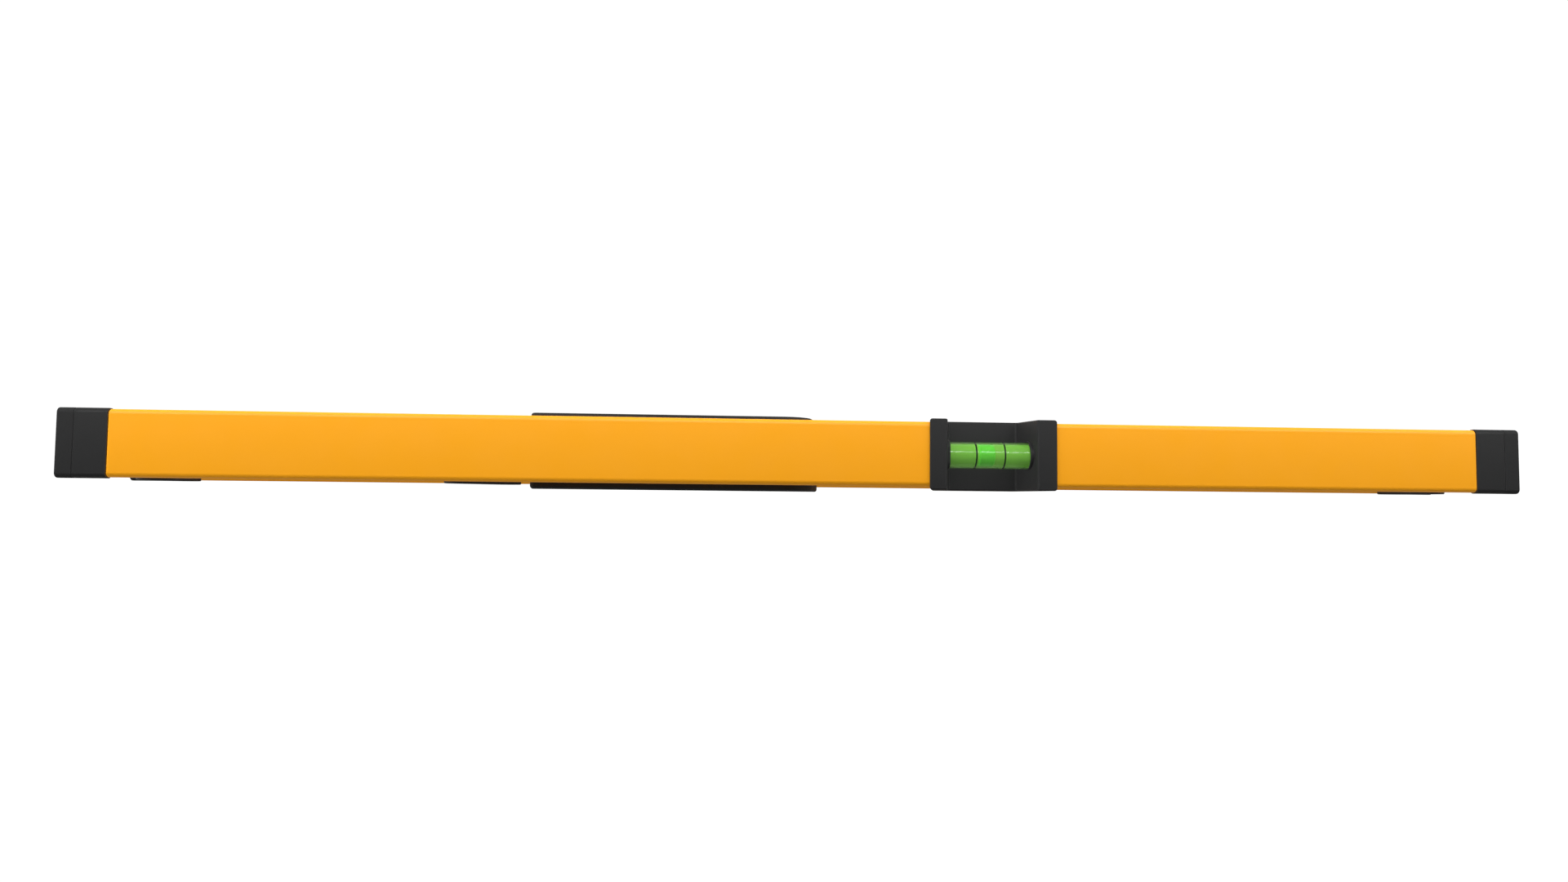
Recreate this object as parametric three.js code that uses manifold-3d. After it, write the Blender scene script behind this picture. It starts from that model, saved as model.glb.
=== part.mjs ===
// Box-section spirit level, 600 mm long: one vial read from above, two plumb vials and one 45 degree vial.
// Millimetres. +X runs along the level, +Y to its back, +Z up. The origin is the middle of the base.
import * as THREE from "three";
import { mergeVertices } from "three/addons/utils/BufferGeometryUtils.js";
import Module from "manifold-3d";

const wasm = await Module();
wasm.setup();

// ---------------------------------------------------------------- driving dimensions

const GAP = 0.3; // clearance between pieces that meet

const LEVEL = { length: 600, height: 60 };

const SECTION = {
  width: 26.8,
  edgeHeight: 4, // height of the full-width band along the top and along the base
  recess: 1.6, // how far the side walls stand back from those bands
  cornerRadius: 2,
  wall: 2,
  plate: 3.2, // thickness of the top and bottom plates
};

const END = {
  length: 19.2, // cap and pad together
  padLength: 6.4,
  proud: 0.4, // how far caps stand out sideways from the beam
  prongLength: 12,
  prongHeight: 8.5,
  studRadius: 4,
  studLength: 3,
};

const GRIP = {
  topLeft: -121.1,
  topRight: -3.8,
  bottomLeft: -125.9,
  bottomRight: 2.8,
  lowZ: 14,
  highZ: 46,
  face: 15.65, // half width across both grips
  cornerRadius: 5,
  edgeRound: 1,
  studRadius: 2.5,
  studDepth: 3.4,
  studs: [-105, -64, -23],
};

const HOUSING = {
  left: 43.4,
  right: 97.1,
  halfWidth: 14.7,
  low: 26,
  top: 61,
  lean: 8, // how far each end leans in from its top to its foot
  planRadius: 1.4,
  topRadius: 1.4,
  lap: 1.8, // how far the cheeks and the top lip reach over the beam at each end of the notch
  notchFloor: 36,
};

const TROUGH = {
  topLeft: 50.8,
  topRight: 88.7,
  floorLeft: 54.8,
  floorRight: 84.6,
  floor: 44,
  rimRound: 1.3,
};

const TOP_VIAL = {
  name: "top_vial",
  centre: new THREE.Vector3(70, 0, 52),
  turn: 0,
  radius: 5.6,
  boreRadius: 4.3,
  length: 40,
  endWall: 2.5,
  plugLength: 3,
  ringSpacing: 12.1,
  bubble: { length: 7.3, width: 5.2, height: 2.6 },
  bubbleAt: -1.4, // along the vial from its middle
  facets: 28,
};

const SMALL_VIAL = {
  radius: 4.5,
  boreRadius: 3.3,
  length: 28,
  endWall: 2.2,
  plugLength: 3.2,
  ringSpacing: 8.4,
  bubble: { length: 5.2, width: 3.6, height: 3.6 },
  facets: 18,
};

const HOLDER = {
  length: 35,
  width: 15,
  collarLength: 31.4,
  collarWidth: 11.4,
  face: 14, // half width across both bezels
  windowLength: 24,
  windowWidth: 7.6,
  rebateLength: 28.4,
  rebateWidth: 11,
  rebateDepth: 1,
  arcSteps: 5,
};

const SMALL_VIAL_PLACES = [
  { name: "left_plumb_vial", x: -271, turn: -Math.PI / 2 },
  { name: "right_plumb_vial", x: 271, turn: -Math.PI / 2 },
  { name: "angle_vial", x: -142.5, turn: (-3 * Math.PI) / 4 },
];

const RING = { width: 0.9, groove: 0.7, thickness: 0.4 };

// ---------------------------------------------------------------- derived dimensions

const HALF_LENGTH = LEVEL.length / 2;
const MIDDLE_Z = LEVEL.height / 2;
const HALF_WIDTH = SECTION.width / 2;
const WALL_OUTSIDE = HALF_WIDTH - SECTION.recess;
const WALL_INSIDE = WALL_OUTSIDE - SECTION.wall;
const BEAM_END = HALF_LENGTH - END.length - GAP;
const HOUSING_SLOPE = HOUSING.lean / (HOUSING.top - HOUSING.low);
const THROUGH = 40; // longer than the level is wide, for cuts that run right through it

// ---------------------------------------------------------------- materials

function finish(color, roughness, metalness = 0) {
  return new THREE.MeshStandardMaterial({ color, roughness, metalness });
}

function clearFinish(color, opacity) {
  const material = finish(color, 0.05);
  material.transparent = true;
  material.opacity = opacity;
  return material;
}

const yellowPaint = () => finish(0xfda92b, 0.45);
const blackPlastic = () => finish(0x323234, 0.6);
const blackRubber = () => finish(0x2a2a2b, 0.85);
const clearAcrylic = () => clearFinish(0xb9e69a, 0.35);
const greenLiquid = () => clearFinish(0x6fc73c, 0.7);
const air = () => clearFinish(0xc9f7b4, 0.5);
const blackRing = () => finish(0x14180f, 0.5);

// ---------------------------------------------------------------- solids

/** A closed mesh as a solid that can be joined and cut. */
function solidOf(geometry) {
  const bare = geometry.clone();
  bare.deleteAttribute("normal");
  bare.deleteAttribute("uv");
  const merged = mergeVertices(bare);
  const vertProperties = new Float32Array(merged.attributes.position.array);
  const triVerts = new Uint32Array(merged.index.array);
  return new wasm.Manifold(new wasm.Mesh({ numProp: 3, vertProperties, triVerts }));
}

/** A solid as a geometry with flat facets. */
function geometryOf(solid) {
  const mesh = solid.getMesh();
  const geometry = new THREE.BufferGeometry();
  geometry.setAttribute("position", new THREE.BufferAttribute(mesh.vertProperties, 3));
  geometry.setIndex(new THREE.BufferAttribute(mesh.triVerts, 1));
  geometry.computeVertexNormals();
  return geometry;
}

function piece(name, solid, material) {
  const mesh = new THREE.Mesh(geometryOf(solid), material);
  mesh.name = name;
  return mesh;
}

/** Extrudes an outline drawn in Y and Z along X. */
function alongX(shape, fromX, toX, steps = 3) {
  const geometry = new THREE.ExtrudeGeometry(shape, {
    depth: toX - fromX,
    bevelEnabled: false,
    curveSegments: steps,
  });
  const yzPlane = new THREE.Matrix4().makeBasis(
    new THREE.Vector3(0, 1, 0),
    new THREE.Vector3(0, 0, 1),
    new THREE.Vector3(1, 0, 0),
  );
  return solidOf(geometry.applyMatrix4(yzPlane).translate(fromX, 0, 0));
}

/** Extrudes an outline drawn in X and Z along Y, with its edges rounded by `round`. */
function alongY(shape, fromY, toY, { steps = 4, round = 0 } = {}) {
  const geometry = new THREE.ExtrudeGeometry(shape, {
    depth: toY - fromY - 2 * round,
    bevelEnabled: round > 0,
    bevelThickness: round,
    bevelSize: round,
    bevelOffset: -round,
    bevelSegments: 2,
    curveSegments: steps,
  });
  const xzPlane = new THREE.Matrix4().makeBasis(
    new THREE.Vector3(1, 0, 0),
    new THREE.Vector3(0, 0, 1),
    new THREE.Vector3(0, -1, 0),
  );
  return solidOf(geometry.applyMatrix4(xzPlane).translate(0, toY - round, 0));
}

/** Extrudes an outline drawn in X and Y along Z. */
function alongZ(shape, fromZ, toZ, steps = 4) {
  const geometry = new THREE.ExtrudeGeometry(shape, {
    depth: toZ - fromZ,
    bevelEnabled: false,
    curveSegments: steps,
  });
  return solidOf(geometry.translate(0, 0, fromZ));
}

/** Turns a closed profile of [radius, distance along X] points about the X axis. */
function turnedAboutX(profile, facets) {
  const points = profile.map(([radius, x]) => new THREE.Vector2(radius, x));
  const geometry = new THREE.LatheGeometry(points, facets);
  return solidOf(geometry.rotateZ(-Math.PI / 2));
}

function rodAlongX(radius, fromX, toX, facets) {
  const rod = new THREE.CylinderGeometry(radius, radius, toX - fromX, facets);
  rod.rotateZ(-Math.PI / 2);
  rod.translate((fromX + toX) / 2, 0, 0);
  return solidOf(rod);
}

function rodAlongY(radius, fromY, toY, x, z, facets = 16) {
  const rod = new THREE.CylinderGeometry(radius, radius, toY - fromY, facets);
  rod.translate(x, (fromY + toY) / 2, z);
  return solidOf(rod);
}

// ---------------------------------------------------------------- outlines

function roundedRectangle(left, low, right, high, radius) {
  const shape = new THREE.Shape();
  shape.moveTo(left + radius, low);
  shape.absarc(right - radius, low + radius, radius, -Math.PI / 2, 0);
  shape.absarc(right - radius, high - radius, radius, 0, Math.PI / 2);
  shape.absarc(left + radius, high - radius, radius, Math.PI / 2, Math.PI);
  shape.absarc(left + radius, low + radius, radius, Math.PI, 1.5 * Math.PI);
  shape.closePath();
  return shape;
}

/** A slot outline with round ends, centred on the origin and long in X. */
function capsule(length, width) {
  const radius = width / 2;
  const reach = length / 2 - radius;
  const shape = new THREE.Shape();
  shape.moveTo(-reach, -radius);
  shape.absarc(reach, 0, radius, -Math.PI / 2, Math.PI / 2);
  shape.absarc(-reach, 0, radius, Math.PI / 2, 1.5 * Math.PI);
  shape.closePath();
  return shape;
}

/** The outline through `corners` with each corner rounded by `radius`. */
function roundedPolygon(corners, radius) {
  const shape = new THREE.Shape();
  corners.forEach((corner, i) => {
    const before = corners[(i + corners.length - 1) % corners.length];
    const after = corners[(i + 1) % corners.length];
    const into = before.clone().sub(corner).setLength(radius).add(corner);
    const out = after.clone().sub(corner).setLength(radius).add(corner);
    if (i === 0) shape.moveTo(into.x, into.y);
    else shape.lineTo(into.x, into.y);
    shape.quadraticCurveTo(corner.x, corner.y, out.x, out.y);
  });
  shape.closePath();
  return shape;
}

/** Cross-section of the level: full-width bands at top and base, side walls recessed between them. */
function levelSection(growY = 0, growZ = 0) {
  const half = HALF_WIDTH + growY;
  const wall = half - SECTION.recess;
  const low = -growZ;
  const high = LEVEL.height + growZ;
  const lowEdge = low + SECTION.edgeHeight;
  const highEdge = high - SECTION.edgeHeight;
  const r = SECTION.cornerRadius;
  const shape = new THREE.Shape();
  shape.moveTo(-half + r, low);
  shape.absarc(half - r, low + r, r, -Math.PI / 2, 0);
  shape.lineTo(half, lowEdge);
  shape.lineTo(wall, lowEdge + SECTION.recess);
  shape.lineTo(wall, highEdge - SECTION.recess);
  shape.lineTo(half, highEdge);
  shape.absarc(half - r, high - r, r, 0, Math.PI / 2);
  shape.absarc(-half + r, high - r, r, Math.PI / 2, Math.PI);
  shape.lineTo(-half, highEdge);
  shape.lineTo(-wall, highEdge - SECTION.recess);
  shape.lineTo(-wall, lowEdge + SECTION.recess);
  shape.lineTo(-half, lowEdge);
  shape.absarc(-half + r, low + r, r, Math.PI, 1.5 * Math.PI);
  shape.closePath();
  return shape;
}

function beamHollow(inset = 0) {
  const side = WALL_INSIDE - inset;
  const low = SECTION.plate + inset;
  const high = LEVEL.height - SECTION.plate - inset;
  return roundedRectangle(-side, low, side, high, 1);
}

/** Where the housing's ends lie along X at a height, drawn in by `inset`. */
function housingEnds(z, inset = 0) {
  const lean = HOUSING_SLOPE * (HOUSING.top - z) + inset;
  return { left: HOUSING.left + lean, right: HOUSING.right - lean };
}

/** An outline with both ends leaning in like the housing's, from one height to another. */
function leaningOutline(lowZ, highZ, inset = 0) {
  const low = housingEnds(lowZ, inset);
  const high = housingEnds(highZ, inset);
  const shape = new THREE.Shape();
  shape.moveTo(low.left, lowZ);
  shape.lineTo(low.right, lowZ);
  shape.lineTo(high.right, highZ);
  shape.lineTo(high.left, highZ);
  shape.closePath();
  return shape;
}

/** The notch for the top vial's housing, from its floor to above the level. */
function notchOutline(shrink = 0) {
  return leaningOutline(HOUSING.notchFloor + shrink, HOUSING.top + 1, HOUSING.lap + shrink);
}

// ---------------------------------------------------------------- beam

function beam() {
  let body = alongX(levelSection(), -BEAM_END, BEAM_END);
  body = body.subtract(alongX(beamHollow(), -HALF_LENGTH, HALF_LENGTH, 3));
  body = body.subtract(alongY(notchOutline(), -THROUGH, THROUGH));
  for (const place of SMALL_VIAL_PLACES) body = body.subtract(holderCutOut(place));
  for (const x of GRIP.studs) {
    const hole = rodAlongY(GRIP.studRadius + GAP, -THROUGH, THROUGH, x, MIDDLE_Z);
    body = body.subtract(hole);
  }
  return piece("beam", body, yellowPaint());
}

/** The slot through both side walls that a small vial's holder fits. */
function holderCutOut({ x, turn }) {
  const slot = capsule(HOLDER.collarLength + 2 * GAP, HOLDER.collarWidth + 2 * GAP);
  const cut = new THREE.ExtrudeGeometry(slot, {
    depth: 2 * THROUGH,
    bevelEnabled: false,
    curveSegments: HOLDER.arcSteps,
  });
  cut.rotateX(Math.PI / 2);
  cut.translate(0, THROUGH, 0);
  cut.rotateY(turn);
  cut.translate(x, 0, MIDDLE_Z);
  return solidOf(cut);
}

// ---------------------------------------------------------------- end caps

/** Cap at the left end: a block with the level's section and two prongs that grip inside the beam. */
function leftEndCap() {
  const outer = -HALF_LENGTH + END.padLength + GAP;
  const inner = -BEAM_END - GAP;
  const prongEnd = inner + END.prongLength;
  let cap = alongX(levelSection(END.proud), outer, inner);
  const prongs = alongX(beamHollow(GAP), inner - 1, prongEnd, 3);
  const between = roundedRectangle(
    inner,
    SECTION.plate + GAP + END.prongHeight,
    prongEnd + 1,
    LEVEL.height - SECTION.plate - GAP - END.prongHeight,
    0.5,
  );
  cap = cap.add(prongs.subtract(alongY(between, -THROUGH, THROUGH, { steps: 2 })));
  for (const z of padStudHeights()) {
    const socket = rodAlongX(END.studRadius + GAP, outer - 1, outer + END.studLength + GAP, 16);
    cap = cap.subtract(socket.translate(0, 0, z));
  }
  return cap;
}

/** Shock pad at the left end, pressed onto the cap by two studs. */
function leftEndPad() {
  const inner = -HALF_LENGTH + END.padLength;
  let pad = alongX(levelSection(END.proud), -HALF_LENGTH, inner);
  for (const z of padStudHeights()) {
    const stud = rodAlongX(END.studRadius, inner - 1, inner + END.studLength, 16);
    pad = pad.add(stud.translate(0, 0, z));
  }
  return pad;
}

function padStudHeights() {
  return [MIDDLE_Z - END.studLength * 5, MIDDLE_Z + END.studLength * 5];
}

function endPieces() {
  const cap = leftEndCap();
  const pad = leftEndPad();
  return [
    piece("left_end_cap", cap, blackPlastic()),
    piece("left_end_pad", pad, blackRubber()),
    piece("right_end_cap", cap.mirror([1, 0, 0]), blackPlastic()),
    piece("right_end_pad", pad.mirror([1, 0, 0]), blackRubber()),
  ];
}

// ---------------------------------------------------------------- grips

/** Grip on the back wall, with studs that snap into the wall. */
function backGrip() {
  const outline = roundedPolygon(
    [
      new THREE.Vector2(GRIP.bottomLeft, GRIP.lowZ),
      new THREE.Vector2(GRIP.bottomRight, GRIP.lowZ),
      new THREE.Vector2(GRIP.topRight, GRIP.highZ),
      new THREE.Vector2(GRIP.topLeft, GRIP.highZ),
    ],
    GRIP.cornerRadius,
  );
  const inside = WALL_OUTSIDE + GAP;
  let grip = alongY(outline, inside, GRIP.face, { steps: 5, round: GRIP.edgeRound });
  for (const x of GRIP.studs) {
    const stud = rodAlongY(GRIP.studRadius, inside - GRIP.studDepth, inside + 1, x, MIDDLE_Z);
    grip = grip.add(stud);
  }
  return grip;
}

function grips() {
  const grip = backGrip();
  return [
    piece("back_grip", grip, blackRubber()),
    piece("front_grip", grip.mirror([0, 1, 0]), blackRubber()),
  ];
}

// ---------------------------------------------------------------- top vial housing

/** The open trough over the top vial, with sloping ends and a rounded rim. */
function troughOutline() {
  const { topLeft, topRight, floorLeft, floorRight, floor, rimRound } = TROUGH;
  const above = HOUSING.top + 1;
  const shape = new THREE.Shape();
  shape.moveTo(topLeft - rimRound, above);
  shape.lineTo(topLeft - rimRound, HOUSING.top);
  shape.quadraticCurveTo(topLeft, HOUSING.top, topLeft + rimRound / 3, HOUSING.top - rimRound);
  shape.lineTo(floorLeft - rimRound / 3, floor + rimRound);
  shape.quadraticCurveTo(floorLeft, floor, floorLeft + rimRound, floor);
  shape.lineTo(floorRight - rimRound, floor);
  shape.quadraticCurveTo(floorRight, floor, floorRight + rimRound / 3, floor + rimRound);
  shape.lineTo(topRight - rimRound / 3, HOUSING.top - rimRound);
  shape.quadraticCurveTo(topRight, HOUSING.top, topRight + rimRound, HOUSING.top);
  shape.lineTo(topRight + rimRound, above);
  shape.closePath();
  return shape;
}

/** Saddle that fills the notch, laps over the beam round it and carries the top vial in two bores. */
function topVialHousing() {
  const { left, right, halfWidth, low, top, planRadius, topRadius } = HOUSING;
  const plan = roundedRectangle(left, -halfWidth, right, halfWidth, planRadius);
  const end = roundedRectangle(-halfWidth, low, halfWidth, top, topRadius);
  let housing = alongZ(plan, low, top, 4).intersect(alongX(end, left, right, 4));
  housing = housing.intersect(alongY(leaningOutline(low, top), -THROUGH, THROUGH));

  const beamWithClearance = alongX(levelSection(GAP, GAP), left - 1, right + 1);
  const notch = alongY(notchOutline(GAP), -THROUGH, THROUGH);
  housing = housing.subtract(beamWithClearance.subtract(notch));
  housing = housing.subtract(alongY(troughOutline(), -THROUGH, THROUGH, { steps: 4 }));

  const { centre, radius, length, facets } = TOP_VIAL;
  const boreStart = centre.x - length / 2 - GAP;
  const bore = rodAlongX(radius + GAP, boreStart, right + 1, facets);
  return piece("top_vial_housing", housing.subtract(bore.translate(0, 0, centre.z)), blackPlastic());
}

/** Disc behind the top vial's right end, which keeps it in the housing's bore. */
function topVialRetainer() {
  const { centre, radius, length, facets } = TOP_VIAL;
  const start = centre.x + length / 2 + GAP;
  const end = housingEnds(centre.z - radius, HOUSING.lap + GAP).right - GAP;
  const disc = rodAlongX(radius, start, end, facets);
  return piece("top_vial_retainer", disc.translate(0, 0, centre.z), blackPlastic());
}

// ---------------------------------------------------------------- vials, each lying along its own X

function ringPositions(vial) {
  return [-vial.ringSpacing / 2, vial.ringSpacing / 2];
}

/** Barrel with one closed end and a shallow groove for each ring. */
function vialBarrel(vial) {
  const half = vial.length / 2;
  const groove = RING.width / 2 + GAP;
  const grooveRadius = vial.radius - RING.groove;
  const outside = ringPositions(vial).flatMap((x) => [
    [vial.radius, x - groove],
    [grooveRadius, x - groove],
    [grooveRadius, x + groove],
    [vial.radius, x + groove],
  ]);
  const profile = [
    [0, -half],
    [vial.radius, -half],
    ...outside,
    [vial.radius, half],
    [vial.boreRadius, half],
    [vial.boreRadius, -half + vial.endWall],
    [0, -half + vial.endWall],
  ];
  return turnedAboutX(profile, vial.facets);
}

function vialPlug(vial) {
  const half = vial.length / 2;
  return rodAlongX(vial.boreRadius - GAP, half - vial.plugLength, half, vial.facets);
}

function vialRing(vial, x) {
  const inner = vial.radius - RING.thickness;
  const left = x - RING.width / 2;
  const right = x + RING.width / 2;
  const profile = [
    [inner, left],
    [vial.radius, left],
    [vial.radius, right],
    [inner, right],
    [inner, left],
  ];
  return turnedAboutX(profile, vial.facets);
}

/** Where the bubble's middle can lie along the vial, and how far from the axis it floats. */
function bubbleRun(vial) {
  const half = vial.length / 2;
  const reach = vial.bubble.length / 2 + 2 * GAP;
  return {
    low: -half + vial.endWall + reach,
    high: half - vial.plugLength - reach,
    lift: vial.turn === 0 ? vial.boreRadius - 2 * GAP - vial.bubble.height / 2 : 0,
  };
}

function bubbleSolid(vial, grow, x) {
  const { length, width, height } = vial.bubble;
  const ball = new THREE.SphereGeometry(1, 14, 8);
  ball.scale(length / 2 + grow, width / 2 + grow, height / 2 + grow);
  return solidOf(ball.translate(x, 0, bubbleRun(vial).lift));
}

/** Channel through the liquid that is just wider than the bubble, from end to end. */
function bubbleChannel(vial) {
  const { width, height } = vial.bubble;
  const half = vial.length / 2;
  const channel = new THREE.CylinderGeometry(1, 1, vial.length, 14);
  channel.rotateZ(-Math.PI / 2);
  channel.scale(1, width / 2 + GAP, height / 2 + GAP);
  channel.translate(0, 0, bubbleRun(vial).lift);
  const box = new THREE.BoxGeometry(2 * half, width + 2 * GAP, vial.boreRadius);
  box.translate(0, 0, bubbleRun(vial).lift + vial.boreRadius / 2);
  const round = solidOf(channel);
  return vial.turn === 0 ? round.add(solidOf(box)) : round;
}

function vialLiquid(vial) {
  const half = vial.length / 2;
  const start = -half + vial.endWall + GAP;
  const end = half - vial.plugLength - GAP;
  const column = rodAlongX(vial.boreRadius - GAP, start, end, vial.facets);
  return column.subtract(bubbleChannel(vial));
}

/** Barrel, plug, liquid, bubble and two rings, placed and turned as one group. */
function vialGroup(vial) {
  const group = new THREE.Group();
  const [firstRing, secondRing] = ringPositions(vial);
  group.add(
    piece(`${vial.name}_barrel`, vialBarrel(vial), clearAcrylic()),
    piece(`${vial.name}_plug`, vialPlug(vial), clearAcrylic()),
    piece(`${vial.name}_liquid`, vialLiquid(vial), greenLiquid()),
    piece(`${vial.name}_bubble`, bubbleSolid(vial, 0, vial.bubbleAt), air()),
    piece(`${vial.name}_first_ring`, vialRing(vial, firstRing), blackRing()),
    piece(`${vial.name}_second_ring`, vialRing(vial, secondRing), blackRing()),
  );
  group.position.copy(vial.centre);
  group.rotation.y = vial.turn;
  return group;
}

// ---------------------------------------------------------------- holders of the small vials

/** Back half of a small vial's holder: bezel on the wall, collar through it, window onto the vial. */
function backHolder(vial) {
  const steps = HOLDER.arcSteps;
  const wall = WALL_OUTSIDE + GAP;
  const rebateFloor = HOLDER.face - HOLDER.rebateDepth;
  const bezel = alongY(capsule(HOLDER.length, HOLDER.width), wall, HOLDER.face, { steps, round: 0.5 });
  const collar = alongY(capsule(HOLDER.collarLength, HOLDER.collarWidth), GAP / 2, wall + 0.6, { steps });
  const rebate = capsule(HOLDER.rebateLength, HOLDER.rebateWidth);
  const window = capsule(HOLDER.windowLength, HOLDER.windowWidth);
  const bedHalf = vial.length / 2 + GAP;
  return bezel
    .add(collar)
    .subtract(alongY(rebate, rebateFloor, THROUGH, { steps }))
    .subtract(alongY(window, -THROUGH, THROUGH, { steps }))
    .subtract(rodAlongX(vial.radius + GAP, -bedHalf, bedHalf, vial.facets));
}

/** A small vial with both halves of its holder, which pass through the beam's side walls. */
function smallVialModule(place) {
  const vial = { ...SMALL_VIAL, ...place, centre: new THREE.Vector3(place.x, 0, MIDDLE_Z) };
  vial.bubbleAt = bubbleRun(vial).high;
  const holder = backHolder(vial);
  const group = vialGroup(vial);
  group.add(
    piece(`${vial.name}_back_holder`, holder, blackPlastic()),
    piece(`${vial.name}_front_holder`, holder.mirror([0, 1, 0]), blackPlastic()),
  );
  return group;
}

// ---------------------------------------------------------------- the level

function spiritLevel() {
  const level = new THREE.Group();
  level.add(beam(), ...endPieces(), ...grips());
  level.add(topVialHousing(), topVialRetainer(), vialGroup(TOP_VIAL));
  level.add(...SMALL_VIAL_PLACES.map(smallVialModule));
  return level;
}

export default spiritLevel();
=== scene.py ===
"""Box-section spirit level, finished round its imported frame.

The level lies along X on its measuring face, with its back towards +Y and the reading face of its top
vial towards +Z.  Every length is in metres.
"""

import logging
import math
from collections.abc import Callable, Sequence
from dataclasses import dataclass, field
from enum import Enum, IntEnum

import bmesh
import bpy
from bmesh.types import BMEdge, BMFace, BMVert
from mathutils import Matrix, Vector


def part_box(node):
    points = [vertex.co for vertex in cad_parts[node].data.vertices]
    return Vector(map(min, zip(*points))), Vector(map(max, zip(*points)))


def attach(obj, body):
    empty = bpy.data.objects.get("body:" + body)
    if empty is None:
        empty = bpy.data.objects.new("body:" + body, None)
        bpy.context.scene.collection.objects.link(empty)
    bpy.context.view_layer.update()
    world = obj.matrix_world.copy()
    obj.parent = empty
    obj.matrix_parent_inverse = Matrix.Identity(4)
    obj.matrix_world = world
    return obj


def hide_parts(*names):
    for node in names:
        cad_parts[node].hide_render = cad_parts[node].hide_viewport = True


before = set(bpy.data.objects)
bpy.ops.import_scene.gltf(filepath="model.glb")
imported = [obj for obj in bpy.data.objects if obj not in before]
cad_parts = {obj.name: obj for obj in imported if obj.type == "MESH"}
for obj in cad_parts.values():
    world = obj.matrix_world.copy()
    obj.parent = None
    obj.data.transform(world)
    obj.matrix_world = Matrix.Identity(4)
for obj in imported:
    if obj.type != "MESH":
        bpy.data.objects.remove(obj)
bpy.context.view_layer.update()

LOG = logging.getLogger("spirit_level")

MM = 0.001
ROOT_BODY = "level"
THROUGH = 0.04  # longer than the level is wide, for cuts that run right through it

ROUND_FACETS = 64  # steps round a turned piece
SLOT_FACETS = 56  # steps round both ends of a slot
SHARP_ANGLE = math.radians(38)  # faces that turn by more meet in a visible corner
PARALLEL = 0.9999  # cosine above which two directions count as parallel
WELD_DISTANCE = 1e-7  # points closer than this are one point
NEAR = 1e-6  # tolerance for a place or a length

PATTERN_MIDDLE = (0.3, 0.7)  # strengths between which nearly all of a noise pattern lies
DRIFT_LAYERS = 3
GLOSS_LAYERS = 4
GRAIN_LAYERS = 2
GLOSS_PATCH = 0.25  # patches of gloss, as a share of the patches of colour

Outline = Sequence[tuple[float, float]]
EdgeChoice = Callable[[BMEdge], bool]


class Axis(Enum):
    """A main direction of the level."""

    X = (1.0, 0.0, 0.0)
    Y = (0.0, 1.0, 0.0)
    Z = (0.0, 0.0, 1.0)

    @property
    def vector(self) -> Vector:
        """The direction as a vector."""
        return Vector(self.value)

    def place(self, u: float, v: float, along: float) -> Vector:
        """Puts a point of an outline in space.

        Args:
            u: The outline's first coordinate, X unless the outline faces along X.
            v: The outline's second coordinate, Z unless the outline faces along Z.
            along: Distance along this axis.

        Returns:
            The point in the level's frame.
        """
        if self is Axis.X:
            return Vector((along, u, v))
        if self is Axis.Y:
            return Vector((u, along, v))
        return Vector((u, v, along))


class Join(Enum):
    """How one body acts on another."""

    CUT = "DIFFERENCE"
    WELD = "UNION"


class End(Enum):
    """An end of the level, with its sign along X."""

    LEFT = -1
    RIGHT = 1


class Side(Enum):
    """A side of the level, with its sign along Y."""

    FRONT = -1
    BACK = 1

    @property
    def label(self) -> str:
        """The side's name as it stands in the pieces' names."""
        return self.name.lower()


class Facets(IntEnum):
    """How many flat steps make up a rounded edge."""

    FINE = 3
    RIM = 4
    EDGE = 5
    CORNER = 6
    BEND = 8
    SWEEP = 14


@dataclass(frozen=True)
class Span:
    """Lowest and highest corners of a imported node."""

    low: Vector
    high: Vector

    @classmethod
    def of(cls, node: str) -> "Span":
        """Reads a node's box from the frame."""
        low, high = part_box(node)
        return cls(low, high)

    @property
    def centre(self) -> Vector:
        """The middle of the box."""
        return (self.low + self.high) / 2

    @property
    def size(self) -> Vector:
        """The box's lengths along X, Y and Z."""
        return self.high - self.low

    @property
    def side_face(self) -> float:
        """Distance of the box's outermost side face from the level's middle."""
        return max(abs(self.low.y), abs(self.high.y))


# ------------------------------------------------------------------------------------------ shaping


def runs_along(edge: BMEdge, axis: Axis) -> bool:
    """Tells whether an edge is parallel to an axis."""
    direction = edge.verts[1].co - edge.verts[0].co
    return direction.length > 0 and abs(direction.normalized().dot(axis.vector)) > PARALLEL


def is_sharp(edge: BMEdge) -> bool:
    """Tells whether two faces meet at an edge in a corner that is seen as one."""
    return len(edge.link_faces) == 2 and edge.calc_face_angle(0) > SHARP_ANGLE


def along(axis: Axis) -> EdgeChoice:
    """Chooses the edges parallel to an axis."""
    return lambda edge: runs_along(edge, axis)


def sharp_along(axis: Axis) -> EdgeChoice:
    """Chooses the sharp edges parallel to an axis."""
    return lambda edge: runs_along(edge, axis) and is_sharp(edge)


def sharp_beyond(axis: Axis, place: float) -> EdgeChoice:
    """Chooses the sharp edges that lie wholly beyond a place along an axis."""
    return lambda edge: is_sharp(edge) and min(vert.co.dot(axis.vector) for vert in edge.verts) > place


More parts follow.
